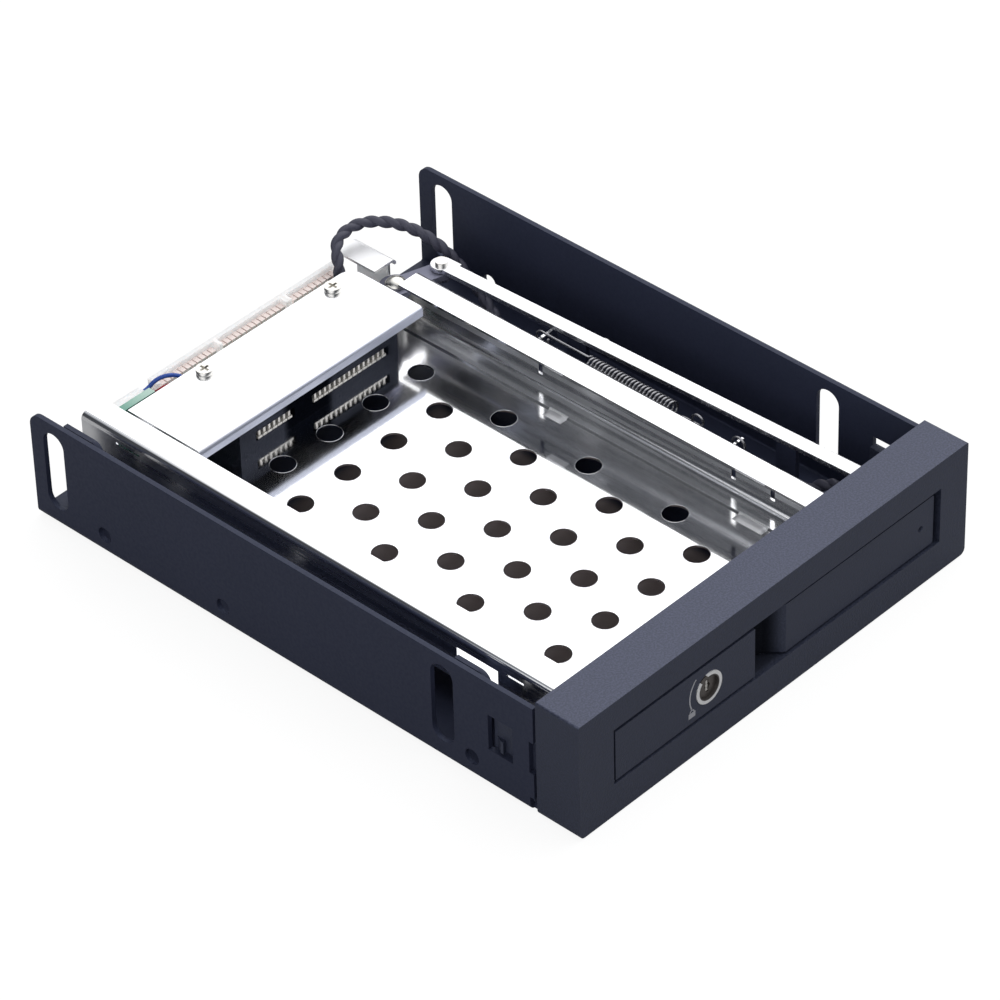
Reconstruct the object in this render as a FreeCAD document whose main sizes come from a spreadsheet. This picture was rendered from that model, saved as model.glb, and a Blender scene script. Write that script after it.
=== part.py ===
import FreeCAD
import Part
import math
import os
import Sketcher
from FreeCAD import Placement, Rotation, Vector

# Tray-less rack for one 2.5 inch drive in a 3.5 inch bay, in millimetres.
# Every piece is drawn from the rack's front left bottom corner: X across, Y to the rear, Z up.
# Each finished piece is then set so that the origin is the middle of the rack's footprint.

doc = FreeCAD.newDocument("drive_rack")
sheet = doc.addObject("Spreadsheet::Sheet", "dims")
aliases = []
pieces = []


class Size:
    """A length that knows its value and the sheet expression that drives it."""

    def __init__(self, value, text):
        self.value = value
        self.text = text

    @staticmethod
    def of(other):
        if isinstance(other, Size):
            return other
        return Size(float(other), f"({float(other):.5f})")

    def __add__(self, other):
        other = Size.of(other)
        return Size(self.value + other.value, f"({self.text} + {other.text})")

    def __radd__(self, other):
        return Size.of(other) + self

    def __sub__(self, other):
        other = Size.of(other)
        return Size(self.value - other.value, f"({self.text} - {other.text})")

    def __rsub__(self, other):
        return Size.of(other) - self

    def __mul__(self, factor):
        return Size(self.value * factor, f"({self.text} * {factor:.5f})")

    __rmul__ = __mul__

    def __neg__(self):
        return self * -1.0


def diagonal(a, b):
    """The long side of a right angle's two sizes."""
    return Size(math.hypot(a.value, b.value), f"sqrt({a.text} ^ 2 + {b.text} ^ 2)")


def dim(alias, value, note):
    """One driving dimension of the sheet."""
    aliases.append(alias)
    row = len(aliases)
    sheet.set(f"A{row}", note)
    sheet.set(f"B{row}", str(value))
    sheet.setAlias(f"B{row}", alias)
    return Size(value, f"dims.{alias}")


def bind(obj, path, size):
    obj.setExpression(path, Size.of(size).text)


def place(obj, base, rotation=Rotation()):
    base = [Size.of(size) for size in base]
    obj.Placement = Placement(Vector(*[size.value for size in base]), rotation)
    for axis, size in zip("xyz", base):
        bind(obj, f"Placement.Base.{axis}", size)


def block(x, y, z):
    """A box between a low and a high size on each axis."""
    obj = doc.addObject("Part::Box", "block")
    for name, (low, high) in zip(("Length", "Width", "Height"), (x, y, z)):
        bind(obj, name, Size.of(high) - low)
    place(obj, (x[0], y[0], z[0]))
    return obj


ALONG = {"x": Rotation(Vector(0, 1, 0), 90), "y": Rotation(Vector(1, 0, 0), -90), "z": Rotation()}


def start_of(axis, a, b, low):
    return {"x": (low, a, b), "y": (a, low, b), "z": (a, b, low)}[axis]


def bar(axis, a, b, span, radius):
    """A round bar along an axis; a and b are its centre on the other two axes."""
    obj = doc.addObject("Part::Cylinder", "bar")
    bind(obj, "Radius", radius)
    bind(obj, "Height", Size.of(span[1]) - span[0])
    place(obj, start_of(axis, a, b, span[0]), ALONG[axis])
    return obj


def ring(a, b, c, radius, wire):
    """A wire ring standing in the YZ plane."""
    obj = doc.addObject("Part::Torus", "ring")
    bind(obj, "Radius1", radius)
    bind(obj, "Radius2", wire)
    place(obj, (a, b, c), ALONG["x"])
    return obj


def ball(a, b, c, radius):
    obj = doc.addObject("Part::Sphere", "ball")
    bind(obj, "Radius", radius)
    place(obj, (a, b, c))
    return obj


def join(*parts):
    if len(parts) == 1:
        return parts[0]
    obj = doc.addObject("Part::MultiFuse", "joined")
    obj.Shapes = list(parts)
    obj.Refine = True
    return obj


def cut(base, *tools):
    obj = doc.addObject("Part::Cut", "cut")
    obj.Base = base
    obj.Tool = join(*tools)
    obj.Refine = True
    return obj


def common(*parts):
    obj = doc.addObject("Part::MultiCommon", "common")
    obj.Shapes = list(parts)
    return obj


def group(*parts):
    obj = doc.addObject("Part::Compound", "group")
    obj.Links = list(parts)
    return obj


PLANES = {
    "xz": (Rotation(Vector(1, 0, 0), 90), Vector(0, 1, 0), "y"),
    "yz": (Rotation(Vector(1, 1, 1), 120), Vector(1, 0, 0), "x"),
    "xy": (Rotation(), Vector(0, 0, 1), "z"),
}


def toward(start, end):
    """Unit step along an axis-parallel edge, as two signs."""
    def sign(a, b):
        return (b.value > a.value + 1e-6) - (b.value < a.value - 1e-6)
    return sign(start[0], end[0]), sign(start[1], end[1])


def corner_points(corners):
    """Vertices of the outline and, for each rounded corner, its radius."""
    vertices = []
    for i, corner in enumerate(corners):
        point = (Size.of(corner[0]), Size.of(corner[1]))
        if len(corner) == 2:
            vertices.append((point, None, None))
            continue
        radius = Size.of(corner[2])
        before = tuple(Size.of(v) for v in corners[i - 1][:2])
        after = tuple(Size.of(v) for v in corners[(i + 1) % len(corners)][:2])
        back, ahead = toward(point, before), toward(point, after)
        first = tuple(p + radius * s for p, s in zip(point, back))
        last = tuple(p + radius * s for p, s in zip(point, ahead))
        centre = tuple(p + radius * (s + t) for p, s, t in zip(point, back, ahead))
        vertices.append((first, radius, centre))
        vertices.append((last, None, None))
    return vertices


def flat(point):
    return Vector(point[0].value, point[1].value, 0)


def pin_point(sketch, geo, pos, point, name):
    """Ties a vertex to the sketch origin with sheet-driven distances."""
    for kind, axis, size in (("DistanceX", -2, point[0]), ("DistanceY", -1, point[1])):
        if abs(size.value) < 1e-9:
            sketch.addConstraint(Sketcher.Constraint("PointOnObject", geo, pos, axis))
            continue
        index = sketch.addConstraint(Sketcher.Constraint(kind, -1, 1, geo, pos, size.value))
        label = f"{name}_{kind}"
        sketch.renameConstraint(index, label)
        bind(sketch, f"Constraints.{label}", size)


def outline(corners):
    """A fully tied closed sketch of lines, with arcs at corners that give a radius."""
    sketch = doc.addObject("Sketcher::SketchObject", "outline")
    vertices = corner_points(corners)
    ends = []
    for i, (point, radius, centre) in enumerate(vertices):
        start, end = flat(point), flat(vertices[(i + 1) % len(vertices)][0])
        if radius is None:
            geo = sketch.addGeometry(Part.LineSegment(start, end))
        else:
            middle = flat(centre)
            bulge = (start + end) * 0.5 - middle
            bulge.normalize()
            geo = sketch.addGeometry(Part.Arc(start, middle + bulge * radius.value, end))
        near_end, far_end = (sketch.getPoint(geo, end).distanceToPoint(start) for end in (1, 2))
        swapped = near_end > far_end
        ends.append((geo, 2, 1) if swapped else (geo, 1, 2))
    for i, (point, radius, centre) in enumerate(vertices):
        geo, first, last = ends[i]
        before = ends[i - 1]
        sketch.addConstraint(Sketcher.Constraint("Coincident", before[0], before[2], geo, first))
        pin_point(sketch, geo, first, point, f"vertex{i}")
        if radius is not None:
            index = sketch.addConstraint(Sketcher.Constraint("Radius", geo, radius.value))
            sketch.renameConstraint(index, f"bend{i}")
            bind(sketch, f"Constraints.bend{i}", radius)
    return sketch


def extrude(plane, corners, span):
    """An outline on a plane, carried from the low to the high size of the third axis."""
    rotation, direction, axis = PLANES[plane]
    sketch = outline(corners)
    base = [span[0] if name == axis else 0.0 for name in "xyz"]
    place(sketch, base, rotation)
    obj = doc.addObject("Part::Extrusion", "extrusion")
    obj.Base = sketch
    obj.DirMode = "Custom"
    obj.Dir = direction
    obj.Solid = True
    bind(obj, "LengthFwd", Size.of(span[1]) - span[0])
    return obj


def corner_tool(axis, span, a, b, radius, side_a, side_b):
    """What rounding a square corner at (a, b) removes; the sides say which way the corner points."""
    def reach(size, side):
        inner = size - radius * side
        outer = size + 0.5 * side
        return (inner, outer) if side > 0 else (outer, inner)
    spans = [reach(a, side_a), reach(b, side_b)]
    spans.insert("xyz".index(axis), span)
    centre = (a - radius * side_a, b - radius * side_b)
    return cut(block(*spans), bar(axis, centre[0], centre[1], (span[0] - 1.0, span[1] + 1.0), radius))


def node(label, obj):
    """A finished piece, set in the shared frame."""
    piece = group(obj)
    piece.Label = label
    place(piece, (bay_width * -0.5, frame_depth * -0.5, 0.0))
    pieces.append(piece)
    return piece


# Overall sizes
bay_width = dim("bay_width", 101.6, "width of the face and frame")
frame_depth = dim("frame_depth", 132.5, "face to rear edge of the side plates")
face_height = dim("face_height", 25.0, "height of the face")
face_depth = dim("face_depth", 9.8, "depth of the face's side walls")

# Frame
frame_sheet = dim("frame_sheet", 1.0, "frame steel thickness")
frame_fold = dim("frame_fold", 0.4, "inside bend radius of the frame")
plate_height = dim("plate_height", 23.2, "height of the side plates")
plate_gap = dim("plate_gap", 0.6, "face's rear rim to the side plates")
plate_corner = dim("plate_corner", 2.6, "rounding of the plates' rear top corners")
slot_width = dim("slot_width", 5.2, "width of the upright mounting slots")
slot_length = dim("slot_length", 17.0, "length of the slots")
slot_height = dim("slot_height", 12.5, "height of the slots' middle")
slot_front = dim("slot_front", 31.4, "front slot from the face")
slot_back = dim("slot_back", 5.85, "rear slot from the rear edge")
side_hole_radius = dim("side_hole_radius", 1.6, "radius of the round side holes")
side_hole_height = dim("side_hole_height", 4.3, "height of the round side holes")
side_hole_front = dim("side_hole_front", 24.8, "front round hole from the face")
side_hole_pitch = dim("side_hole_pitch", 60.0, "front to middle round hole")
side_hole_back = dim("side_hole_back", 17.7, "rear round hole from the rear edge")
window_set = dim("window_set", 4.8, "plates' front edge to the snap windows")
window_length = dim("window_length", 5.6, "length of the snap windows")
window_low = dim("window_low", 8.35, "lower edge of the snap windows")
window_tall = dim("window_tall", 7.75, "height of the snap windows")
notch_depth = dim("notch_depth", 1.0, "depth of the notches in the plates' front edges")
boss_radius = dim("boss_radius", 4.0, "radius of the drawn cage bosses")
rivet_radius = dim("rivet_radius", 1.5, "radius of the cage rivets")
rivet_left = dim("rivet_left", 11.8, "left rivets from the cage's left side")
rivet_right = dim("rivet_right", 7.3, "right rivets from the cage's right side")
rivet_front = dim("rivet_front", 9.0, "front rivets from the cage's front edge")
rivet_back = dim("rivet_back", 11.0, "rear rivets from the frame's rear edge")
ear_left = dim("ear_left", 5.6, "upright ears from the left side")
ear_top = dim("ear_top", 17.9, "top of the upright ears")
ear_corner = dim("ear_corner", 2.2, "rounding of the ears' front top corners")

# Cage
left_channel = dim("left_channel", 10.2, "left side to the cage")
right_channel = dim("right_channel", 20.0, "cage to the right side")
cage_sheet = dim("cage_sheet", 0.5, "cage steel thickness")
cage_fold = dim("cage_fold", 0.7, "inside bend radius of the cage")
cage_lift = dim("cage_lift", 5.4, "frame floor to the cage's underside")
cage_wall = dim("cage_wall", 11.5, "cage's underside to the top of its flanges")
cage_gap = dim("cage_gap", 0.2, "face's rear rim to the cage")
cage_back = dim("cage_back", 2.2, "cage to the frame's rear edge")
flange_width = dim("flange_width", 5.8, "width of the cage's top flanges")
rail_width = dim("rail_width", 4.1, "width of the raised drive rails")
dimple_radius = dim("dimple_radius", 2.0, "radius of the dimples pressed beside the right rail")
dimple_set = dim("dimple_set", 0.9, "right rail to the dimples' middle line")
rail_rise = dim("rail_rise", 0.4, "height of the drive rails above the floor")
vent_radius = dim("vent_radius", 2.5, "radius of the floor holes")
vent_pitch = dim("vent_pitch", 12.05, "floor hole pitch across")
vent_row = dim("vent_row", 10.42, "floor hole row pitch")
vent_side = dim("vent_side", 12.15, "rear row's right-hand hole from the cage's right side")
vent_back = dim("vent_back", 29.7, "rear row of floor holes from the rear edge")
vent_front = dim("vent_front", 16.0, "least distance of a row from the cage's front edge")
guide_front = dim("guide_front", 32.4, "front rod rest from the face")
guide_back = dim("guide_back", 51.1, "rear rod rest from the rear edge")
guide_width = dim("guide_width", 4.6, "length of the rod rests")

# Face opening, door and lock
open_left = dim("open_left", 8.6, "left side to the face opening")
open_right = dim("open_right", 7.3, "face opening to the right side")
open_low = dim("open_low", 6.9, "lower edge of the face opening")
open_tall = dim("open_tall", 12.05, "height of the face opening")
face_wall = dim("face_wall", 1.6, "wall of the face moulding")
face_skin = dim("face_skin", 2.2, "thickness of the face's front")
face_corner = dim("face_corner", 1.2, "rounding of the face's lower corners")
snap_wall = dim("snap_wall", 1.6, "thickness of the snap arms")
door_gap = dim("door_gap", 0.55, "gap beside and below the door")
top_gap = dim("top_gap", 0.85, "gap above the door")
tail_gap = dim("tail_gap", 1.4, "gap at the door's hinged end")
door_back = dim("door_back", 6.0, "back of the door from the face")
door_wall = dim("door_wall", 1.7, "wall of the door moulding")
lock_block = dim("lock_block", 35.6, "width of the door's lock block")
pocket_width = dim("pocket_width", 8.45, "width of the finger pocket")
pocket_floor = dim("pocket_floor", 5.0, "depth of the finger pocket")
panel_set = dim("panel_set", 0.45, "front of the set-back panel")
block_set = dim("block_set", 0.15, "front of the lock block")
hinge_side = dim("hinge_side", 9.3, "hinge pins from the opening's right edge")
hinge_set = dim("hinge_set", 1.4, "hinge pins from the door's back")
pin_radius = dim("pin_radius", 1.0, "hinge pin radius")
pin_depth = dim("pin_depth", 3.0, "hinge pins' reach into the door")
run_gap = dim("run_gap", 0.05, "radial running clearance")
barrel_set = dim("barrel_set", 0.6, "front of the lock barrel")
lock_side = dim("lock_side", 23.65, "lock from the door's left edge")
lock_height = dim("lock_height", 5.9, "lock above the opening's lower edge")
barrel_radius = dim("barrel_radius", 2.3, "radius of the lock barrel")
sleeve_wall = dim("sleeve_wall", 0.6, "wall of the lock sleeve")
sleeve_rim = dim("sleeve_rim", 0.3, "rim of the lock sleeve's front ring")
cam_length = dim("cam_length", 8.5, "lock axis to the cam's tip")
cam_width = dim("cam_width", 3.2, "width of the cam")
cam_sheet = dim("cam_sheet", 0.8, "thickness of the cam")
lamp_bore = dim("lamp_bore", 0.62, "radius of the lamp hole")
lamp_side = dim("lamp_side", 4.4, "lamp from the hinge pins")
lamp_back = dim("lamp_back", 5.4, "face's rear rim to the lamp board")
lamp_radius = dim("lamp_radius", 1.5, "radius of the lamp lens")

# Rear connector, cover and board
cover_left = dim("cover_left", 6.5, "cage's left side to the cover")
cover_right = dim("cover_right", 7.4, "cover to the cage's right side")
cover_back = dim("cover_back", 7.5, "cover to the frame's rear edge")
cover_depth = dim("cover_depth", 18.6, "cover from front to rear")
cover_drop = dim("cover_drop", 0.3, "cover below the cage's flanges")
cover_sheet = dim("cover_sheet", 0.6, "cover steel thickness")
cover_fold = dim("cover_fold", 0.3, "inside bend radius of the cover")
cover_lip = dim("cover_lip", 2.2, "height of the cover's front lip")
cover_corner = dim("cover_corner", 3.0, "rounding of the cover's rear right corner")
screw_radius = dim("screw_radius", 0.95, "radius of the cover screws")
head_tall = dim("head_tall", 0.9, "height of the cover screws' heads")
screw_inset = dim("screw_inset", 2.4, "cover screws from the cover's rear edge")
plug_side = dim("plug_side", 11.8, "drive connector to the cage's right side")
plug_width = dim("plug_width", 41.0, "width of the drive connector")
plug_depth = dim("plug_depth", 17.5, "drive connector from front to board")
plug_tall = dim("plug_tall", 6.3, "height of the drive connector")
contact_pitch = dim("contact_pitch", 1.27, "contact pitch")
contact_width = dim("contact_width", 1.1, "width of a contact's foot")
contact_lift = dim("contact_lift", 2.3, "cage floor to the contact rows")
signal_side = dim("signal_side", 5.25, "connector's left end to the first signal contact")
power_side = dim("power_side", 14.4, "first signal contact to the first power contact")
board_back = dim("board_back", 6.0, "board's front to the frame's rear edge")
board_sheet = dim("board_sheet", 1.6, "board thickness")
board_tall = dim("board_tall", 6.8, "height of the board")
tab_tall = dim("tab_tall", 9.4, "height of the board's left end")
socket_depth = dim("socket_depth", 2.7, "depth of the rear sockets")
socket_lift = dim("socket_lift", 0.8, "cage floor to the rear sockets")
socket_tall = dim("socket_tall", 8.0, "height of the rear sockets")
socket_wall = dim("socket_wall", 0.7, "walls of the rear sockets' contact bays")
power_socket_side = dim("power_socket_side", 17.0, "cage's left side to the power socket")
data_socket_side = dim("data_socket_side", 6.5, "data socket to the cage's right side")
data_socket_width = dim("data_socket_width", 14.0, "width of the data socket")

# Ejector
pivot_side = dim("pivot_side", 3.0, "lever pivot from the cage's right side")
pivot_back = dim("pivot_back", 14.9, "lever pivot from the rear edge")
pivot_radius = dim("pivot_radius", 1.2, "radius of the lever pivot's shank")
lever_gap = dim("lever_gap", 0.3, "drive connector to the lever's underside")
lever_sheet = dim("lever_sheet", 1.2, "lever thickness")
lever_reach = dim("lever_reach", 14.0, "lever pivot to the nose that pushes the drive")
lever_nose = dim("lever_nose", 1.7, "radius of the lever's nose")
lever_eye = dim("lever_eye", 2.2, "radius of the lever's slotted end")
rod_reach = dim("rod_reach", 9.25, "lever pivot across to the rod rivet")
rod_set = dim("rod_set", 2.9, "rod rivet in front of the lever pivot")
rod_gap = dim("rod_gap", 0.2, "lever's top to the rod")
rod_sheet = dim("rod_sheet", 1.0, "rod thickness")
rod_width = dim("rod_width", 3.0, "rod width")
foot_gap = dim("foot_gap", 2.5, "door's back to the rod's foot")
foot_width = dim("foot_width", 6.1, "width of the rod's foot")
rod_pin = dim("rod_pin", 0.8, "radius of the rod rivet")
spring_side = dim("spring_side", 3.5, "cage's right side to the spring")
spring_drop = dim("spring_drop", 0.8, "spring axis below the rod")
spring_radius = dim("spring_radius", 1.5, "outside radius of the spring")
spring_wire = dim("spring_wire", 0.25, "radius of the spring wire")
hook_radius = dim("hook_radius", 1.45, "radius of the spring's hooks")
hook_set = dim("hook_set", 6.6, "front rod rest to the spring's seat on the cage")
lug_set = dim("lug_set", 28.1, "rod rivet to the spring's seat on the rod")
front_reach = dim("front_reach", 15.5, "front hook to the spring's coil")
rear_reach = dim("rear_reach", 11.4, "spring's coil to its rear hook")
lead_radius = dim("lead_radius", 1.2, "radius of the black lead")
wire_radius = dim("wire_radius", 0.4, "radius of the coloured wires")
doc.recompute()

ROD_TILT = 2.1
NOSE_ANGLE = 209.0
OVER = 1.0  # how far a cutting tool stands proud of what it cuts
FAR = (-OVER, bay_width + OVER)

# Places worked out from the sizes
plate_front = face_depth + plate_gap
slot_rear = frame_depth - slot_back
left, right = left_channel, bay_width - right_channel
cage_under = frame_sheet + cage_lift
cage_top = cage_under + cage_wall
floor = cage_under + cage_sheet
rail = floor + rail_rise
cage_front, cage_rear = face_depth + cage_gap, frame_depth - cage_back
boss_spots = [
    (x, y) for x in (left + rivet_left, right - rivet_right) for y in (
        cage_front + rivet_front, frame_depth - rivet_back)
]
mouth_right, mouth_high = bay_width - open_right, open_low + open_tall
door_left, door_right = open_left + door_gap, mouth_right - tail_gap
door_low, door_high = open_low + door_gap, mouth_high - top_gap
pocket_left = door_left + lock_block
pocket_right = pocket_left + pocket_width
hinge_x, hinge_y = mouth_right - hinge_side, door_back - hinge_set
lock_x, lock_z = door_left + lock_side, open_low + lock_height
lamp_x, lamp_y = hinge_x + lamp_side, face_depth + lamp_back
lamp_z = lock_z - 0.3
board_front = frame_depth - board_back
board_rear = board_front + board_sheet
board_top = floor + board_tall
plug_left, plug_right = right - plug_side - plug_width, right - plug_side
plug_face, plug_top = board_front - plug_depth, floor + plug_tall
cover_top = cage_top - cover_drop
cover_rear = frame_depth - cover_back
cover_spots = [(plug_left + 5.0, cover_rear - screw_inset), (plug_right - 2.7, cover_rear - screw_inset)]
pivot_x, pivot_y = right - pivot_side, frame_depth - pivot_back
lever_low = plug_top + lever_gap
lever_high = lever_low + lever_sheet
rod_x, rod_y = pivot_x + rod_reach, pivot_y - rod_set
rod_low = lever_high + rod_gap
rod_high = rod_low + rod_sheet
rod_length = rod_y - door_back - foot_gap
spring_x, spring_z = right + spring_side, rod_low - spring_drop
guide_rear = frame_depth - guide_back
hook_seat = guide_front + hook_set


def rod_line(y):
    """How far across the rod's middle is, at a distance from the face."""
    return rod_x + (rod_y - y) * math.tan(math.radians(ROD_TILT))


# Outer frame: one folded sheet
frame_bend = frame_fold + frame_sheet
channel = extrude("xz", [
    (0, 0, frame_bend), (bay_width, 0, frame_bend), (bay_width, plate_height),
    (bay_width - frame_sheet, plate_height), (bay_width - frame_sheet, frame_sheet, frame_fold),
    (frame_sheet, frame_sheet, frame_fold), (frame_sheet, plate_height), (0, plate_height),
], (plate_front, frame_depth))
slot_radius = slot_width * 0.5
slot_half = slot_length * 0.5 - slot_radius
side_cuts = []
for centre in (slot_front, slot_rear):
    low, high = slot_height - slot_half, slot_height + slot_half
    side_cuts.append(block(FAR, (centre - slot_radius, centre + slot_radius), (low, high)))
    side_cuts.append(bar("x", centre, low, FAR, slot_radius))
    side_cuts.append(bar("x", centre, high, FAR, slot_radius))
for centre in (side_hole_front, side_hole_front + side_hole_pitch, frame_depth - side_hole_back):
    side_cuts.append(bar("x", centre, side_hole_height, FAR, side_hole_radius))
window_front = plate_front + window_set
side_cuts.append(
    block(FAR, (window_front, window_front + window_length), (window_low, window_low + window_tall)))
side_cuts.append(corner_tool("x", FAR, frame_depth, plate_height, plate_corner, 1, 1))
skin = frame_sheet + 0.05
edge = (plate_front - OVER, plate_front + notch_depth)
for x in ((-OVER, skin), (bay_width - skin, bay_width + OVER)):
    side_cuts.append(block(x, edge, (window_low + 0.3, window_low + window_tall - 0.6)))
    side_cuts.append(block(x, edge, (-OVER, frame_bend + 1.7)))
folded = cut(channel, *side_cuts)
bosses = [bar("z", x, y, (frame_sheet * 0.5, cage_under), boss_radius) for x, y in boss_spots]
ears = []
for front, rear in ((slot_front - 5.4, slot_front + 2.3), (slot_rear - 6.05, slot_rear + 3.35)):
    ears.append(extrude("yz", [
        (front, frame_sheet * 0.5), (rear, frame_sheet * 0.5), (rear, ear_top),
        (front, ear_top, ear_corner),
    ], (ear_left, ear_left + frame_sheet)))
guide_half = guide_width * 0.5
for centre in (guide_front, guide_rear):
    across = rod_line(centre)
    ears.append(block(
        (across - frame_sheet * 0.5, across + frame_sheet * 0.5),
        (centre - guide_half, centre + guide_half),
        (frame_sheet * 0.5, rod_low - run_gap)))
rivet_hole = rivet_radius + run_gap
hollows = [
    bar("z", x, y, (-OVER, cage_under - frame_sheet), boss_radius - frame_sheet) for x, y in boss_spots]
rivet_holes = [bar("z", x, y, (0.0, cage_under + OVER), rivet_hole) for x, y in boss_spots]
node("outer_frame", cut(join(folded, *bosses, *ears), *hollows, *rivet_holes))

# Drive cage: one folded stainless sheet with raised drive rails
cage_bend = cage_fold + cage_sheet
step = cage_sheet + rail_width
lean = step + 0.4 * cage_sheet
shell = extrude("xz", [
    (left + flange_width, cage_top), (left, cage_top, cage_bend),
    (left, cage_under + rail_rise, cage_bend),
    (left + lean, cage_under + rail_rise), (left + lean + rail_rise, cage_under),
    (right - lean - rail_rise, cage_under), (right - lean, cage_under + rail_rise),
    (right, cage_under + rail_rise, cage_bend), (right, cage_top, cage_bend),
    (right - flange_width, cage_top),
    (right - flange_width, cage_top - cage_sheet), (right - cage_sheet, cage_top - cage_sheet, cage_fold),
    (right - cage_sheet, rail, cage_fold), (right - step, rail), (right - step - rail_rise, floor),
    (left + step + rail_rise, floor), (left + step, rail), (left + cage_sheet, rail, cage_fold),
    (left + cage_sheet, cage_top - cage_sheet, cage_fold), (left + flange_width, cage_top - cage_sheet),
], (cage_front, cage_rear))
vents = []
vent_first, vent_rear = right - vent_side, frame_depth - vent_back
vent_rows = int((vent_rear - cage_front - vent_front).value / vent_row.value) + 1
for row in range(vent_rows):
    for column in range(4):
        across = vent_first - vent_pitch * (column + 0.5 * (row % 2))
        vents.append(bar("z", across, vent_rear - vent_row * row, (0.0, floor + OVER), vent_radius))
left_wall = (left - OVER, left + cage_sheet + 0.3)
right_wall = (right - cage_sheet - 0.3, right + OVER)
window_sill = floor + 2.7
window_head = cage_top - 3.0
windows = [
    block(left_wall, (slot_front - 3.4, slot_front + 6.2), (window_sill, cage_top - 2.9)),
    block(left_wall, (slot_front - 9.4, slot_front - 5.4), (cage_top - 2.7, cage_top - 2.3)),
    block(left_wall, (frame_depth - 17.1, frame_depth - 11.1), (cage_top - 2.3, cage_top - 1.9)),
    block(right_wall, (guide_front - 5.4, guide_front - 4.4), (window_sill, window_head)),
    block(right_wall, (guide_front + 3.8, guide_front + 4.8), (window_sill, window_head)),
    block(right_wall, (guide_rear + 1.6, guide_rear + 2.6), (window_sill, window_head)),
    block(right_wall, (pivot_y - 4.6, pivot_y + 4.4), (lever_low - 0.5, cage_top - 1.3)),
    block(
        (right - flange_width - OVER, right + OVER), (pivot_y - 3.4, pivot_y + 2.7),
        (cage_top - 2.2, cage_top + OVER)),
]
dimples = []
dimple_x, dimple_z = right - step - dimple_set, rail - dimple_radius
for front, rear in ((slot_front - 5.4, slot_front - 0.8), (guide_rear - 7.1, guide_rear - 5.0)):
    dimples.append(join(
        bar("y", dimple_x, dimple_z, (front, rear), dimple_radius),
        ball(dimple_x, front, dimple_z, dimple_radius), ball(dimple_x, rear, dimple_z, dimple_radius)))
underside = block((left, right), (0.0, frame_depth), (cage_under - 4.0, cage_under))
hook_z = spring_z - 0.1
hook_low = hook_z - hook_radius
hook_plate = (hook_seat - cage_sheet * 0.5, hook_seat + cage_sheet * 0.5)
hook_tab = block((right - 0.3, spring_x + 1.2), hook_plate, (hook_low - 1.2, hook_z + 0.8))
hook_hole = bar("y", spring_x, hook_low, (hook_seat - OVER, hook_seat + OVER), 0.6)
cage_holes = [bar("z", x, y, (0.0, floor + OVER), rivet_hole) for x, y in boss_spots]
cage = join(cut(shell, *vents, *windows), *dimples, hook_tab)
node("drive_cage", cut(cage, underside, hook_hole, *cage_holes))

rivets = []
rivet_under = cage_under - frame_sheet
for x, y in boss_spots:
    rivets.append(join(
        bar("z", x, y, (floor, floor + 0.3), rivet_radius + 0.75),
        bar("z", x, y, (rivet_under - 0.5, floor + 0.1), rivet_radius),
        bar("z", x, y, (rivet_under - 1.0, rivet_under), rivet_radius + 0.9),
    ))
node("cage_rivets", group(*rivets))

# Face moulding
face = extrude("xz", [
    (0, 0, face_corner), (bay_width, 0, face_corner), (bay_width, face_height, 0.4),
    (0, face_height, 0.4),
], (0.0, face_depth))
hollow = block(
    (face_wall, bay_width - face_wall), (face_skin, face_depth + OVER),
    (face_wall, face_height - face_wall))
tube_low, tube_high = open_low - face_wall, mouth_high + face_wall
surround = block(
    (open_left - face_wall, mouth_right + face_wall), (0.0, face_depth), (tube_low, tube_high))
arm_end = window_front + window_length - 0.6
arm_tall = (window_low + 0.5, window_low + window_tall - 1.2)
wedge_tall = (window_low + 0.5, window_low + 3.1)
snaps = []
for mirrored in (False, True):
    faces = [0.25 * frame_sheet, frame_sheet, frame_sheet + 0.4, frame_sheet + snap_wall]
    if mirrored:
        faces = [bay_width - x for x in faces]
    hook, outer, root, inner = faces
    arm = (inner, outer) if mirrored else (outer, inner)
    snaps.append(block(arm, (face_skin * 0.5, arm_end), arm_tall))
    snaps.append(extrude("xy", [
        (root, window_front + 2.4), (hook, window_front + 2.4), (hook, window_front + 3.0),
        (root, arm_end),
    ], wedge_tall))
lamp_edge = mouth_right + 0.1
lamp_arm = block(
    (lamp_edge, mouth_right + face_wall), (face_depth - 1.8, lamp_y + 2.2), (lamp_z - 4.8, lamp_z + 1.4))
opening = block((open_left, mouth_right), (-OVER, face_depth + OVER), (open_low, mouth_high))
keeper = block(
    (lock_x - cam_length + 0.7, lock_x + cam_width + 0.2), (door_back + 0.8, face_depth + OVER),
    (tube_low - 0.5, open_low + 0.5))
pin_hole = bar("z", hinge_x, hinge_y, (tube_low - OVER, tube_high + OVER), pin_radius + 0.03)
node("bezel", cut(join(cut(face, hollow), surround, *snaps, lamp_arm), opening, keeper, pin_hole))

# Door
slab = extrude("xz", [
    (door_left, door_low), (door_right, door_low, 0.6), (door_right, door_high, 0.4),
    (door_left, door_high),
], (block_set, door_back))
set_back = block((pocket_right, door_right + OVER), (-OVER, panel_set), (door_low - OVER, door_high + OVER))
undercut = 1.6
ramp_start, ramp_bend = pocket_left + undercut, pocket_left + 5.6
pocket = extrude("xy", [
    (pocket_left, -OVER), (pocket_left, block_set + 1.15), (pocket_left - undercut, block_set + 1.75),
    (pocket_left - undercut, pocket_floor), (ramp_start, pocket_floor), (ramp_bend, pocket_floor - 1.6),
    (pocket_right - 0.6, panel_set + 0.5), (pocket_right, panel_set), (pocket_right, -OVER),
], (door_low - OVER, door_high + OVER))
inner_tall = (door_low + door_wall, door_high - door_wall)
block_hollow = block(
    (door_left + door_wall, pocket_left - undercut - door_wall), (block_set + 1.85, door_back + OVER),
    inner_tall)
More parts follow.
